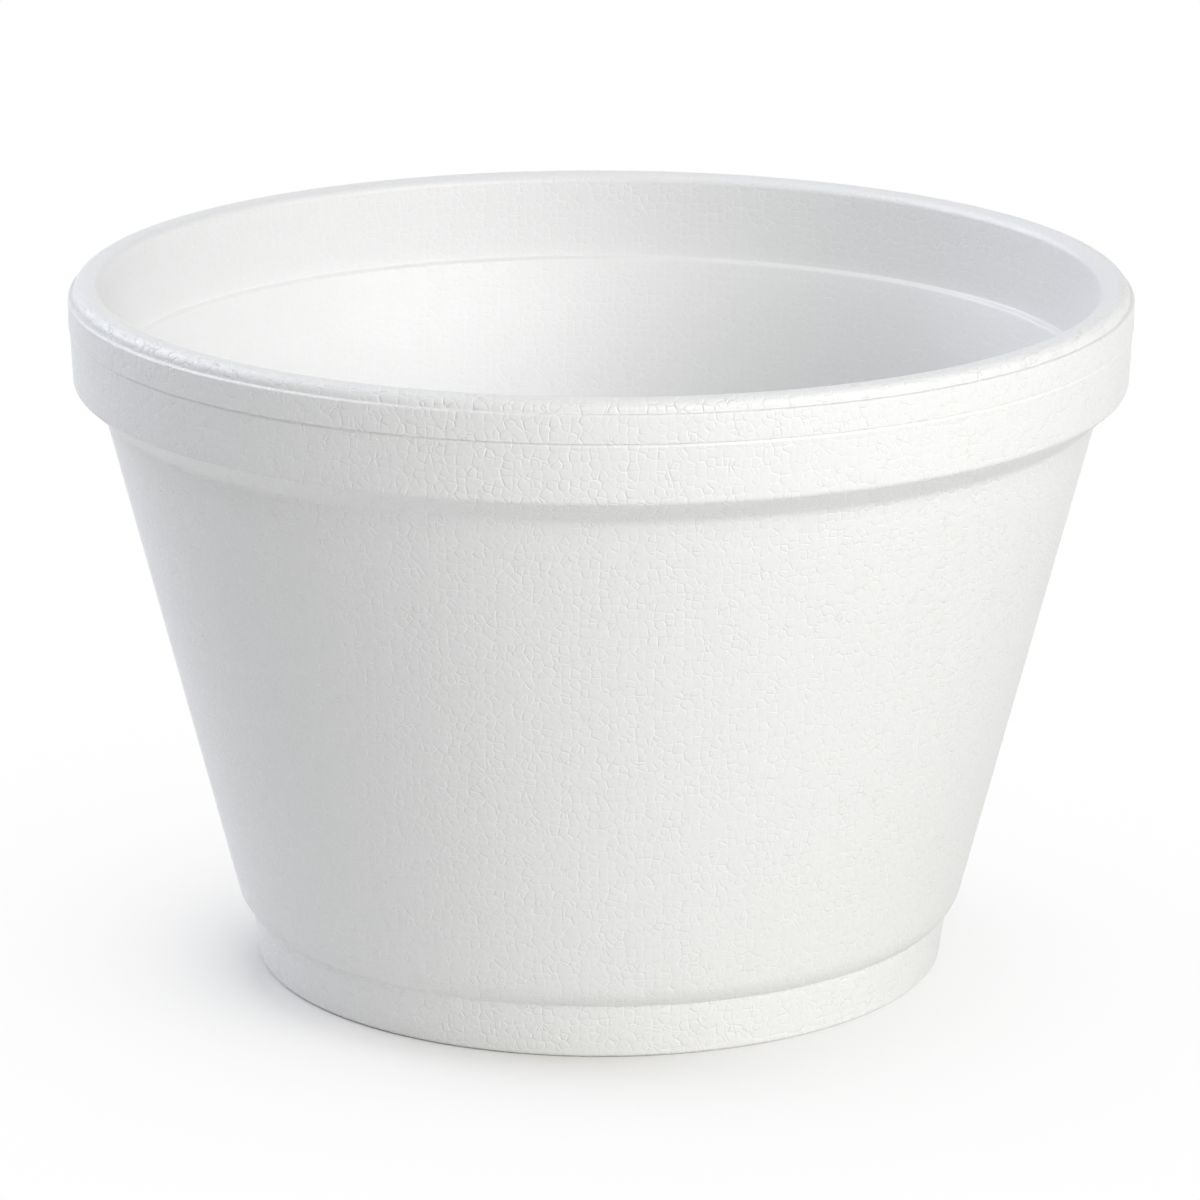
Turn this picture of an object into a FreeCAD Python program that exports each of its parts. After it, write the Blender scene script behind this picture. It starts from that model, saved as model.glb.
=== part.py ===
# Food container moulded in one piece from expanded polystyrene foam: a round tapered tub
# with a foot band, a banded rim for a snap lid and a stacking shoulder inside.
# Millimetres.  +Z is the tub's axis, pointing up.  The origin is the centre of the resting face.
# Every surface is turned about the axis, so the tub is drawn as its half section.

import FreeCAD, Part
import math
import os

# ---- overall sizes ----
height = 76.8                # resting face to rim crest
rim_radius = 58.1            # outside of the lid lip, the widest place
foot_radius = 38.1           # outer edge of the resting face

# ---- thicknesses ----
wall_thickness = 2.4         # square to the tapered wall
floor_thickness = 2.6

# ---- foot band and heel ----
foot_height = 6.05
foot_flare = 0.9             # how much wider the foot band is at its top
foot_ring_width = 3.2        # width of the ring that rests on the table
foot_edge_round = 0.3
heel_overhang = 0.9          # how far the wall stands out over the top of the foot band
heel_round = 4.2             # the wall's rolled-under lower edge
recess_depth = 3.0           # hollow under the floor, inside the foot ring
recess_draft = 0.3
recess_round = 0.8

# ---- rim, from the crest down ----
bead_height = 1.3            # rounded crest that the lid seals over
bead_round = 1.2
bead_flank = 0.05            # least upright part of the bead that is left below its round
crest_flat = 0.1             # level part of the crest, inside the bead's round
ledge_width = 0.5            # flat between the bead and the lip's edge
lip_height = 3.0             # upper band, from the ledge down to the mould's parting line
lip_edge_round = 0.25
parting_step = 0.12          # the lip stands this much proud of the lower band
parting_notch_depth = 0.18   # fine notch that the parting line leaves under the lip
parting_notch_height = 0.25
band_height = 6.4            # lower band with its notch, from the parting line down to its lower edge
band_taper = 0.3
band_edge_round = 0.7
neck_inset = 3.6             # lip's edge in to the top of the tapered wall
neck_drop = 2.7              # height of the sloping underside of the band
neck_round = 1.4

# ---- inside of the rim ----
mouth_inset = 3.6            # lip's edge in to the top of the inner wall
crest_fall = 0.2             # the crest dips this much towards the inside
mouth_round = 1.0
shoulder_depth = 9.6         # crest down to the stacking shoulder
shoulder_width = 0.65
shoulder_fall = 0.3          # the shoulder slopes down this much towards the axis
shoulder_fillet = 0.2
shoulder_edge_round = 0.3
corner_round = 4.0           # inside, where the wall meets the floor

# ---- round mark under the floor where the mould was filled ----
mark_radius = 4.5
mark_height = 0.4
mark_edge_round = 0.2

# ---- levels and radii that follow ----
ledge_level = height - bead_height
parting_level = ledge_level - lip_height
band_foot_level = parting_level - band_height
neck_level = band_foot_level - neck_drop
shoulder_level = height - shoulder_depth
floor_level = recess_depth + floor_thickness
mark_level = recess_depth - mark_height

foot_top_radius = foot_radius + foot_flare
wall_low_radius = foot_top_radius + heel_overhang
neck_radius = rim_radius - neck_inset
band_top_radius = rim_radius - parting_step
bead_radius = rim_radius - ledge_width
mouth_radius = rim_radius - mouth_inset

wall_rise = neck_level - foot_height
wall_slope = (neck_radius - wall_low_radius) / wall_rise
wall_angle = math.atan(wall_slope)
level_thickness = wall_thickness / math.cos(wall_angle)


def outer_wall_radius(level):
    return wall_low_radius + (level - foot_height) * wall_slope


def inner_wall_radius(level):
    return outer_wall_radius(level) - level_thickness


def section_point(radius, level):
    return FreeCAD.Vector(radius, 0, level)


def rounded_corner(before, corner, after, radius):
    # arc of this radius that touches both sides of the corner
    back = (before - corner).normalize()
    ahead = (after - corner).normalize()
    half_angle = back.getAngle(ahead) / 2
    reach = radius / math.tan(half_angle)
    middle = (back + ahead).normalize()
    centre = corner + middle * (radius / math.sin(half_angle))
    start = corner + back * reach
    end = corner + ahead * reach
    return Part.Arc(start, centre - middle * radius, end)


def section_run(start, corners, end):
    # lines from start to end through the corners, each given as (point, radius of its round)
    points = [start] + [point for point, _ in corners] + [end]
    edges = []
    here = start
    for number, (corner, radius) in enumerate(corners, 1):
        if radius:
            arc = rounded_corner(points[number - 1], corner, points[number + 1], radius)
            edges.append(Part.makeLine(here, arc.StartPoint))
            edges.append(arc.toShape())
            here = arc.EndPoint
        else:
            edges.append(Part.makeLine(here, corner))
            here = corner
    edges.append(Part.makeLine(here, end))
    return edges


def foot():
    # out over the fill mark and the recess and round the foot ring, corner by corner
    inner_foot = foot_radius - foot_ring_width
    return [
        (section_point(mark_radius, mark_level), mark_edge_round),
        (section_point(mark_radius, recess_depth), 0),
        (section_point(inner_foot - recess_draft, recess_depth), recess_round),
        (section_point(inner_foot, 0), foot_edge_round),
        (section_point(foot_radius, 0), foot_edge_round),
    ]


def heel():
    # arc from the top edge of the foot band round to the wall, which it touches
    step = heel_overhang * math.cos(wall_angle)
    rise = math.sqrt(2 * heel_round * step - step ** 2)
    up_wall = FreeCAD.Vector(math.sin(wall_angle), 0, math.cos(wall_angle))
    inward = FreeCAD.Vector(-math.cos(wall_angle), 0, math.sin(wall_angle))
    start = section_point(foot_top_radius, foot_height)
    centre = start + up_wall * rise + inward * (heel_round - step)
    end = centre - inward * heel_round
    middle = (start + end) * 0.5 - centre
    return Part.Arc(start, centre + middle.normalize() * heel_round, end)


def rim():
    # from the neck under and up the band, over the lip's ledge and the bead, to the mouth
    notch_foot = parting_level - parting_notch_height
    crest_round = min(bead_round, bead_height - bead_flank)
    crest_inner = bead_radius - crest_round - crest_flat
    return [
        (section_point(neck_radius, neck_level), neck_round),
        (section_point(band_top_radius - band_taper, band_foot_level), band_edge_round),
        (section_point(band_top_radius, notch_foot), 0),
        (section_point(band_top_radius - parting_notch_depth, parting_level), 0),
        (section_point(rim_radius, parting_level), 0),
        (section_point(rim_radius, ledge_level), lip_edge_round),
        (section_point(bead_radius, ledge_level), 0),
        (section_point(bead_radius, height), crest_round),
        (section_point(crest_inner, height), 0),
        (section_point(mouth_radius, height - crest_fall), mouth_round),
    ]


def inside():
    # down from the mouth over the stacking shoulder to the corner of the floor
    shoulder_radius = inner_wall_radius(shoulder_level)
    return [
        (section_point(shoulder_radius + shoulder_width, shoulder_level), shoulder_fillet),
        (section_point(shoulder_radius, shoulder_level - shoulder_fall), shoulder_edge_round),
        (section_point(inner_wall_radius(floor_level), floor_level), corner_round),
    ]


def tub_section():
    mark_centre = section_point(0, mark_level)
    floor_centre = section_point(0, floor_level)
    heel_arc = heel()
    edges = section_run(mark_centre, foot(), heel_arc.StartPoint)
    edges.append(heel_arc.toShape())
    edges += section_run(heel_arc.EndPoint, rim() + inside(), floor_centre)
    edges.append(Part.makeLine(floor_centre, mark_centre))
    return Part.Face(Part.Wire(edges))


def container():
    axis_foot = FreeCAD.Vector(0, 0, 0)
    axis = FreeCAD.Vector(0, 0, 1)
    return tub_section().revolve(axis_foot, axis, 360)


os.makedirs("parts", exist_ok=True)
shape = container()
shape.exportStep("parts/container.step")
print("container:", len(shape.Solids), "solid,", round(shape.Volume / 1000, 2), "cm3")
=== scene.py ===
# Foam food container: the tub as it looks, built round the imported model.
# Metres, +Z up, origin at the centre of the resting face.  The dictionaries are in millimetres.

import math

import bmesh
import bpy
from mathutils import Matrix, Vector


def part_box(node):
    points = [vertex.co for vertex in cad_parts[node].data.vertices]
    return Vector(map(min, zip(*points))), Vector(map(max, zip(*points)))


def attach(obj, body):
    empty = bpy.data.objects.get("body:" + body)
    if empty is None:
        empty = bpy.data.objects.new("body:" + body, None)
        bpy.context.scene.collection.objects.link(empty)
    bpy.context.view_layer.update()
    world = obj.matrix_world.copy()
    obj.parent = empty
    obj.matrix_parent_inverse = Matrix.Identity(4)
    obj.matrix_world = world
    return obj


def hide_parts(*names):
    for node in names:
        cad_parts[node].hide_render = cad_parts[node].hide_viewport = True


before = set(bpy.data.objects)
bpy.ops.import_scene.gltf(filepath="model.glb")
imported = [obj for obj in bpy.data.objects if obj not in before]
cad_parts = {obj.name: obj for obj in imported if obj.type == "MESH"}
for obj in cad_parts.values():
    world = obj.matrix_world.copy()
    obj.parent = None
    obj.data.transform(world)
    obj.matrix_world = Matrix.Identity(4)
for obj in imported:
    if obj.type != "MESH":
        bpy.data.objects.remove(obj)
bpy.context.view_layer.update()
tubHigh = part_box("container")[1]
scene = bpy.context.scene
mm = 0.001
print("frame loaded,", len(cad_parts), "node, tub is", round(tubHigh.z / mm, 1), "mm tall")


tub = {
    "wall": 2.4,              # thickness, square to the tapered wall
    "floor": 2.6,
    "footRadius": 38.1,
    "footHeight": 6.05,
    "footFlare": 0.9,         # how much wider the foot band is at its top
    "footRing": 3.2,          # width of the ring that rests on the table
    "footRound": 0.55,
    "heelOverhang": 0.9,      # the wall stands out this much over the foot band
    "heelRound": 4.2,
    "recess": 3.0,            # hollow under the floor
    "recessDraft": 0.3,       # how much narrower the hollow is at its top
    "recessRound": 0.8,
    "markRadius": 4.5,        # round mark where the mould was filled
    "markHeight": 0.4,
    "markRound": 0.2,
    "beadHeight": 1.3,        # crest that the lid seals over
    "beadRound": 1.2,
    "crestFlat": 0.1,         # level part, inside the round
    "crestFall": 0.2,         # the crest dips this much towards the inside
    "ledge": 0.5,             # flat between the crest and the lip's edge
    "lipHeight": 3.0,
    "lipRound": 0.25,
    "partingStep": 0.12,      # the lip stands this much proud of the band
    "notchDepth": 0.13,       # fine notch under the lip, where the mould's halves part
    "notchHeight": 0.4,
    "bandHeight": 6.4,        # under the lip, with the notch
    "bandTaper": 0.3,
    "bandRound": 0.7,
    "neckInset": 3.6,         # lip's edge in to the top of the wall
    "neckDrop": 2.7,          # height of the band's sloping underside
    "neckRound": 1.4,
    "mouthInset": 3.6,        # lip's edge in to the inner wall
    "mouthRound": 1.0,
    "shoulderDepth": 9.6,     # stacking shoulder, below the crest
    "shoulderWidth": 0.65,
    "shoulderFall": 0.3,      # it slopes down this much towards the axis
    "shoulderFillet": 0.2,
    "shoulderRound": 0.3,
    "cornerRound": 4.0,       # inside, where the wall meets the floor
    "turnSteps": 288,
    "longestEdge": 2.0,       # straight runs of the section are cut to this, so shading stays true
    "degreesPerCut": 9,       # how finely each round is cut
    "mergeWithin": 0.004,     # points nearer than this become one, as on the axis
    "sharpAngle": 20,         # degrees; steeper edges stay sharp
}


def tubCorners(size):
    # half section from the centre of the underside round to the centre of the floor:
    # radius, level, radius of the round, how deep the bead relief is there (which also scales the
    # painted highlight on the bead joins)
    height = tubHigh.z / mm
    rim = tubHigh.x / mm
    ledge = height - size["beadHeight"]
    parting = ledge - size["lipHeight"]
    bandFoot = parting - size["bandHeight"]
    neck = bandFoot - size["neckDrop"]
    shoulder = height - size["shoulderDepth"]
    floor = size["recess"] + size["floor"]
    mark = size["recess"] - size["markHeight"]
    innerFoot = size["footRadius"] - size["footRing"]
    footTop = size["footRadius"] + size["footFlare"]
    wallFoot = footTop + size["heelOverhang"]
    neckRadius = rim - size["neckInset"]
    bandTop = rim - size["partingStep"]
    bead = rim - size["ledge"]
    slope = (neckRadius - wallFoot) / (neck - size["footHeight"])
    levelWall = size["wall"] * math.sqrt(1 + slope * slope)

    def outerWall(z):
        return wallFoot + (z - size["footHeight"]) * slope

    def innerWall(z):
        return outerWall(z) - levelWall

    # the wall's lower edge rolls under to the top of the foot band, which it meets at an angle
    lean = math.atan(slope)
    step = size["heelOverhang"] * math.cos(lean)
    rise = math.sqrt(2 * size["heelRound"] * step - step * step)
    turn = math.acos(1 - step / size["heelRound"])
    reach = size["heelRound"] * math.tan(turn / 2)
    heel = size["footHeight"] + (rise - reach) * math.cos(lean)
    return [
        (0, mark, 0, 0.6),
        (size["markRadius"], mark, size["markRound"], 0.6),
        (size["markRadius"], size["recess"], 0, 0.8),
        (innerFoot - size["recessDraft"], size["recess"], size["recessRound"], 0.8),
        (innerFoot, 0, size["footRound"], 0.8),
        (size["footRadius"], 0, size["footRound"], 1.0),
        (footTop, size["footHeight"], 0, 1.0),
        (outerWall(heel), heel, size["heelRound"], 0.8),
        (neckRadius, neck, size["neckRound"], 0.9),
        (bandTop - size["bandTaper"], bandFoot, size["bandRound"], 0.95),
        (bandTop, parting - size["notchHeight"], 0, 0.95),
        (bandTop - size["notchDepth"], parting, 0, 0.4),
        (rim, parting, 0, 1.0),
        (rim, ledge, size["lipRound"], 1.0),
        (bead, ledge, 0, 0.2),
        (bead, height, size["beadRound"], 1.4),
        (bead - size["beadRound"] - size["crestFlat"], height, 0, 0.3),
        (rim - size["mouthInset"], height - size["crestFall"], size["mouthRound"], 0.5),
        (innerWall(shoulder) + size["shoulderWidth"], shoulder, size["shoulderFillet"], 0.25),
        (innerWall(shoulder), shoulder - size["shoulderFall"], size["shoulderRound"], 0.25),
        (innerWall(floor), floor, size["cornerRound"], 0.3),
        (0, floor, 0, 0.5),
    ]


def buildTub(size):
    bm = bmesh.new()
    corners = tubCorners(size)
    relief = bm.verts.layers.float.new("relief")
    chain = [bm.verts.new((radius * mm, 0, level * mm)) for radius, level, _, _ in corners]
    for vert, corner in zip(chain, corners):
        vert[relief] = corner[3]
    for here, there in zip(chain, chain[1:]):
        bm.edges.new((here, there))
    # round the corners
    rounds = []
    for number, (_, _, radius, _) in enumerate(corners):
        if radius:
            back = (chain[number - 1].co - chain[number].co).normalized()
            ahead = (chain[number + 1].co - chain[number].co).normalized()
            opening = back.angle(ahead)
            cuts = max(2, math.ceil(math.degrees(math.pi - opening) / size["degreesPerCut"]))
            rounds.append((chain[number], radius * mm / math.tan(opening / 2), cuts))
    for corner, reach, cuts in rounds:
        bmesh.ops.bevel(bm, geom=[corner], offset=reach, offset_type="OFFSET",
                        affect="VERTICES", segments=cuts, profile=0.5, material=-1,
                        clamp_overlap=False)
    # cut the long straight runs
    for edge in list(bm.edges):
        cuts = math.ceil(edge.calc_length() / (size["longestEdge"] * mm)) - 1
        if cuts > 0:
            bmesh.ops.subdivide_edges(bm, edges=[edge], cuts=cuts)
    bmesh.ops.spin(bm, geom=bm.verts[:] + bm.edges[:], cent=(0, 0, 0), axis=(0, 0, 1),
                   dvec=(0, 0, 0), angle=2 * math.pi, steps=size["turnSteps"], use_merge=True)
    bmesh.ops.remove_doubles(bm, verts=bm.verts[:], dist=size["mergeWithin"] * mm)
    bmesh.ops.recalc_face_normals(bm, faces=bm.faces[:])
    for face in bm.faces:
        face.smooth = True
    for edge in bm.edges:
        edge.smooth = edge.calc_face_angle(0) < math.radians(size["sharpAngle"])
    mesh = bpy.data.meshes.new("foamTub")
    bm.to_mesh(mesh)
    bm.free()
    piece = bpy.data.objects.new("foamTub", mesh)
    scene.collection.objects.link(piece)
    return piece


def hexColour(code):
    # sRGB hex to linear
    parts = [int(code[place:place + 2], 16) / 255 for place in (1, 3, 5)]
    return tuple(p / 12.92 if p <= 0.04045 else ((p + 0.055) / 1.055) ** 2.4 for p in parts) + (1,)


def addNode(tree, kind, settings=None, links=None):
    # a node, its settings, and what goes into each socket: another node's output or a plain value
    node = tree.nodes.new("ShaderNode" + kind)
    for name, value in (settings or {}).items():
        setattr(node, name, value)
    for socket, value in (links or {}).items():
        if isinstance(value, bpy.types.NodeSocket):
            tree.links.new(value, node.inputs[socket])
        else:
            node.inputs[socket].default_value = value
    return node


foam = {
    "white": "#EEEEED",
    "paintedSeamHighlight": "#F4F4F3",        # painted highlight: a lighter colour along the lines where two beads are fused, standing in for the sheen that catches light there
    "beadSize": 0.97,         # mm between the centres of the fused beads
    "unevenness": 0.7,        # 0 for beads in rows, 1 for beads anywhere
    "waveSize": 1.3,          # mm, the beads' edges are not straight: they wander this far apart
    "waveDepth": 0.25,        # mm
    "grooveWidth": 0.15,      # mm from a bead's edge to the bottom of the groove
    "grooveDepth": 0.026,     # mm
    "domeStart": 0.25,        # a bead's top is level to this share of its size from the middle,
    "domeEnd": 0.75,          # and falls away until here
    "domeDrop": 0.7,          # by this share of the groove's depth
    "faintest": 0.3,          # grooves run from this share of their depth to the next
    "deepest": 1.5,
    "noiseLow": 0.3,          # most of the noise lies between these
    "noiseHigh": 0.7,
    "grainSize": 0.35,        # mm
    "grainDepth": 0.012,      # mm
    "glossiest": 0.38,        # roughness, which differs a little from bead to bead
    "dullest": 0.48,
    "ior": 1.5,
}


def expandedPolystyreneFoam(look):
    # EPS beads fused by steam in a closed metal mould: the skin is smooth and softly glossy, and a
    # shallow groove runs round each flattened bead
    material = bpy.data.materials.new("expandedPolystyreneFoam")
    material.use_nodes = True
    tree = material.node_tree
    shader = tree.nodes["Principled BSDF"]
    here = addNode(tree, "TexCoord").outputs["Object"]
    across = addNode(tree, "NewGeometry").outputs["Normal"]
    wander = addNode(tree, "TexNoise", None,
                     {"Vector": here, "Scale": 1 / (look["waveSize"] * mm), "Detail": 0.0})
    drift = addNode(tree, "VectorMath", {"operation": "SUBTRACT"},
                    {0: wander.outputs["Color"], 1: (0.5, 0.5, 0.5)}).outputs[0]
    place = addNode(tree, "VectorMath", {"operation": "MULTIPLY_ADD"},
                    {0: drift, 1: (look["waveDepth"] * mm,) * 3, 2: here}).outputs[0]
    beads = {"Vector": place, "Scale": 1 / (look["beadSize"] * mm),
             "Randomness": look["unevenness"]}
    near = addNode(tree, "TexVoronoi", {"feature": "F1"}, beads)
    second = addNode(tree, "TexVoronoi", {"feature": "F2"}, beads)

    # distance along the skin from here to the line between the two nearest beads
    toNear = addNode(tree, "VectorMath", {"operation": "DISTANCE"},
                     {0: place, 1: near.outputs["Position"]}).outputs["Value"]
    toSecond = addNode(tree, "VectorMath", {"operation": "DISTANCE"},
                       {0: place, 1: second.outputs["Position"]}).outputs["Value"]
    nearSquared = addNode(tree, "Math", {"operation": "MULTIPLY"},
                          {0: toNear, 1: toNear}).outputs[0]
    secondSquared = addNode(tree, "Math", {"operation": "MULTIPLY"},
                            {0: toSecond, 1: toSecond}).outputs[0]
    difference = addNode(tree, "Math", {"operation": "SUBTRACT"},
                         {0: secondSquared, 1: nearSquared}).outputs[0]
    between = addNode(tree, "VectorMath", {"operation": "SUBTRACT"},
                      {0: second.outputs["Position"], 1: near.outputs["Position"]}).outputs[0]
    outward = addNode(tree, "VectorMath", {"operation": "PROJECT"},
                      {0: between, 1: across}).outputs[0]
    along = addNode(tree, "VectorMath", {"operation": "DISTANCE"},
                    {0: between, 1: outward}).outputs["Value"]
    twice = addNode(tree, "Math", {"operation": "MULTIPLY"}, {0: along, 1: 2.0}).outputs[0]
    edge = addNode(tree, "Math", {"operation": "DIVIDE"}, {0: difference, 1: twice}).outputs[0]

    # beads are round, so the skin also sinks far from a bead's middle
    offset = addNode(tree, "VectorMath", {"operation": "SUBTRACT"},
                     {0: place, 1: near.outputs["Position"]}).outputs[0]
    raised = addNode(tree, "VectorMath", {"operation": "PROJECT"},
                     {0: offset, 1: across}).outputs[0]
    fromMiddle = addNode(tree, "VectorMath", {"operation": "DISTANCE"},
                         {0: offset, 1: raised}).outputs["Value"]
    groove = addNode(tree, "MapRange", {"interpolation_type": "SMOOTHSTEP"},
                     {"Value": edge, "From Max": look["grooveWidth"] * mm,
                      "To Min": 1.0, "To Max": 0.0}).outputs["Result"]
    dip = addNode(tree, "MapRange", {"interpolation_type": "SMOOTHSTEP"},
                  {"Value": fromMiddle,
                   "From Min": look["domeStart"] * look["beadSize"] * mm,
                   "From Max": look["domeEnd"] * look["beadSize"] * mm,
                   "To Max": look["domeDrop"]}).outputs["Result"]
    sunk = addNode(tree, "Math", {"operation": "ADD"}, {0: groove, 1: dip}).outputs[0]

    # some grooves are fused nearly flat, and steam leaves a fine grain all over
    fused = addNode(tree, "MapRange", None,
                    {"Value": wander.outputs["Fac"],
                     "From Min": look["noiseLow"], "From Max": look["noiseHigh"],
                     "To Min": look["faintest"], "To Max": look["deepest"]}).outputs["Result"]
    skin = addNode(tree, "Attribute", {"attribute_name": "relief"}).outputs["Fac"]
    relief = addNode(tree, "Math", {"operation": "MULTIPLY"}, {0: skin, 1: fused}).outputs[0]
    depth = addNode(tree, "Math", {"operation": "MULTIPLY"}, {0: sunk, 1: relief}).outputs[0]
    steam = addNode(tree, "TexNoise", None,
                    {"Vector": here, "Scale": 1 / (look["grainSize"] * mm), "Detail": 1.0})
    grain = addNode(tree, "Math", {"operation": "MULTIPLY"},
                    {0: steam.outputs["Fac"], 1: skin}).outputs[0]
    low = addNode(tree, "Math", {"operation": "MULTIPLY_ADD"},
                  {0: grain, 1: look["grainDepth"] / look["grooveDepth"], 2: depth}).outputs[0]
    bump = addNode(tree, "Bump", {"invert": True},
                   {"Height": low, "Distance": look["grooveDepth"] * mm, "Strength": 1.0})
    # painted highlight: the lines where beads meet are coloured lighter, and fainter where the
    # relief is shallow
    paintedSeamHighlight = addNode(tree, "Math", {"operation": "MULTIPLY", "use_clamp": True},
                   {0: groove, 1: relief}).outputs[0]
    colour = addNode(tree, "Mix", {"data_type": "RGBA"},
                     {"Factor": paintedSeamHighlight, 6: hexColour(look["white"]), 7: hexColour(look["paintedSeamHighlight"])})
    perBead = addNode(tree, "SeparateColor", None, {"Color": near.outputs["Color"]}).outputs[0]
    gloss = addNode(tree, "MapRange", None,
                    {"Value": perBead, "To Min": look["glossiest"],
                     "To Max": look["dullest"]}).outputs["Result"]
    tree.links.new(colour.outputs[2], shader.inputs["Base Color"])
    tree.links.new(gloss, shader.inputs["Roughness"])
    tree.links.new(bump.outputs["Normal"], shader.inputs["Normal"])
    shader.inputs["IOR"].default_value = look["ior"]
    return material


foamTub = buildTub(tub)
foamTub.data.materials.append(expandedPolystyreneFoam(foam))
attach(foamTub, "root")
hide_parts("container")
print("tub built,", len(foamTub.data.polygons), "faces")


studio = {
    "floorWhite": "#E7E6E4",  # matt paper
    "floorSize": 2400,        # mm
    "fadeStart": 32,          # mm: from here out the floor runs into the white background
    "fadeCentre": (-6, -7),   # mm, so that more shadow stays at the left and in front
    "fadePower": 4,           # higher fades sooner
    "roomLight": 0.07,        # strength of the light from all round
    "roomTint": "#F4F7FF",
}

softboxes = {
    # width, height, distance (mm), round from the camera and up (degrees), power (W), tint
    "keyLight": (1100, 700, 1000, 39, 30, 10.0, "#FFFFFD"),
    "backLight": (700, 700, 1000, -120, 32, 7.6, "#F2F5FF"),
    "topLight": (700, 700, 1000, 0, 89, 0.7, "#F2F5FF"),
}

view = {
    "distance": 676.4,        # mm, camera to the tub's axis
    "aimLevel": 39.97,
    "aimRight": -0.04,
    "elevation": 15.694,      # degrees
    "roll": 0.154,
    "lens": 183.05,           # mm, on a sensor this wide
    "sensor": 36,
    "nearest": 10,            # mm, what the camera sees lies between these
    "farthest": 20000,
}


def seenDirectly(tree):
    # 1 where the camera, a reflection or clear material looks straight at a surface
    rays = addNode(tree, "LightPath").outputs
    seen = addNode(tree, "Math", {"operation": "MAXIMUM"},
                   {0: rays["Is Camera Ray"], 1: rays["Is Glossy Ray"]}).outputs[0]
    return addNode(tree, "Math", {"operation": "MAXIMUM"},
                   {0: seen, 1: rays["Is Transmission Ray"]}).outputs[0]


def buildFloor(look):
    bm = bmesh.new()
    bmesh.ops.create_grid(bm, x_segments=2, y_segments=2, size=look["floorSize"] * mm / 2)
    mesh = bpy.data.meshes.new("studioFloor")
    bm.to_mesh(mesh)
    bm.free()
    floor = bpy.data.objects.new("studioFloor", mesh)
    scene.collection.objects.link(floor)
    material = bpy.data.materials.new("paperFloor")
    material.use_nodes = True
    tree = material.node_tree
    tree.nodes.clear()
    place = addNode(tree, "TexCoord").outputs["Object"]
    centre = (look["fadeCentre"][0] * mm, look["fadeCentre"][1] * mm, 0)
    away = addNode(tree, "VectorMath", {"operation": "DISTANCE"},
                   {0: place, 1: centre}).outputs["Value"]
    inner = addNode(tree, "Math", {"operation": "DIVIDE"},
                    {0: look["fadeStart"] * mm, 1: away}).outputs[0]
    shade = addNode(tree, "Math", {"operation": "POWER"},
                    {0: inner, 1: look["fadePower"]}).outputs[0]
    fade = addNode(tree, "Math", {"operation": "SUBTRACT", "use_clamp": True},
                   {0: 1.0, 1: shade}).outputs[0]
    seen = seenDirectly(tree)
    amount = addNode(tree, "Math", {"operation": "MULTIPLY"}, {0: fade, 1: seen}).outputs[0]
    paper = addNode(tree, "BsdfDiffuse", None,
                    {"Color": hexColour(look["floorWhite"])}).outputs[0]
    white = addNode(tree, "Emission", None,
                    {"Color": (1, 1, 1, 1), "Strength": 1.0}).outputs[0]
    both = addNode(tree, "MixShader", None, {0: amount, 1: paper, 2: white}).outputs[0]
    addNode(tree, "OutputMaterial", None, {"Surface": both})
    mesh.materials.append(material)


def buildRoom(look):
    world = bpy.data.worlds.new("whiteRoom")
    scene.world = world
    world.use_nodes = True
    tree = world.node_tree
    tree.nodes.clear()
    seen = seenDirectly(tree)
    strength = addNode(tree, "Mix", {"data_type": "FLOAT"},
                       {0: seen, 2: look["roomLight"], 3: 1.0}).outputs[0]
    tint = addNode(tree, "Mix", {"data_type": "RGBA"},
                   {"Factor": seen, 6: hexColour(look["roomTint"]), 7: (1, 1, 1, 1)}).outputs[2]
    room = addNode(tree, "Background", None, {"Color": tint, "Strength": strength}).outputs[0]
    addNode(tree, "OutputWorld", None, {"Surface": room})


def addSoftbox(name, width, height, distance, around, up, power, tint):
    lamp = bpy.data.lights.new(name, "AREA")
    lamp.shape = "RECTANGLE"
    lamp.size = width * mm
    lamp.size_y = height * mm
    lamp.energy = power
    lamp.color = hexColour(tint)[:3]
    holder = bpy.data.objects.new(name, lamp)
    scene.collection.objects.link(holder)
    around, up = math.radians(around), math.radians(up)
    direction = Vector((math.sin(around) * math.cos(up),
                        -math.cos(around) * math.cos(up), math.sin(up)))
    aim = Vector((0, 0, view["aimLevel"] * mm))
    holder.location = aim + direction * distance * mm
    holder.rotation_euler = direction.to_track_quat("Z", "Y").to_euler()


def addCamera(look):
    camera = bpy.data.cameras.new("productCamera")
    camera.sensor_width = look["sensor"]
    camera.lens = look["lens"]
    camera.clip_start = look["nearest"] * mm
    camera.clip_end = look["farthest"] * mm
    holder = bpy.data.objects.new("productCamera", camera)
    scene.collection.objects.link(holder)
    up = math.radians(look["elevation"])
    aim = Vector((look["aimRight"] * mm, 0, look["aimLevel"] * mm))
    direction = Vector((0, -math.cos(up), math.sin(up)))
    holder.location = aim + direction * look["distance"] * mm
    holder.rotation_euler = direction.to_track_quat("Z", "Y").to_euler()
    holder.rotation_euler.rotate_axis("Z", math.radians(look["roll"]))
    scene.camera = holder


buildFloor(studio)
buildRoom(studio)
for name, box in softboxes.items():
    addSoftbox(name, *box)
addCamera(view)
scene.view_settings.view_transform = "Standard"
print("floor, lights and camera placed")
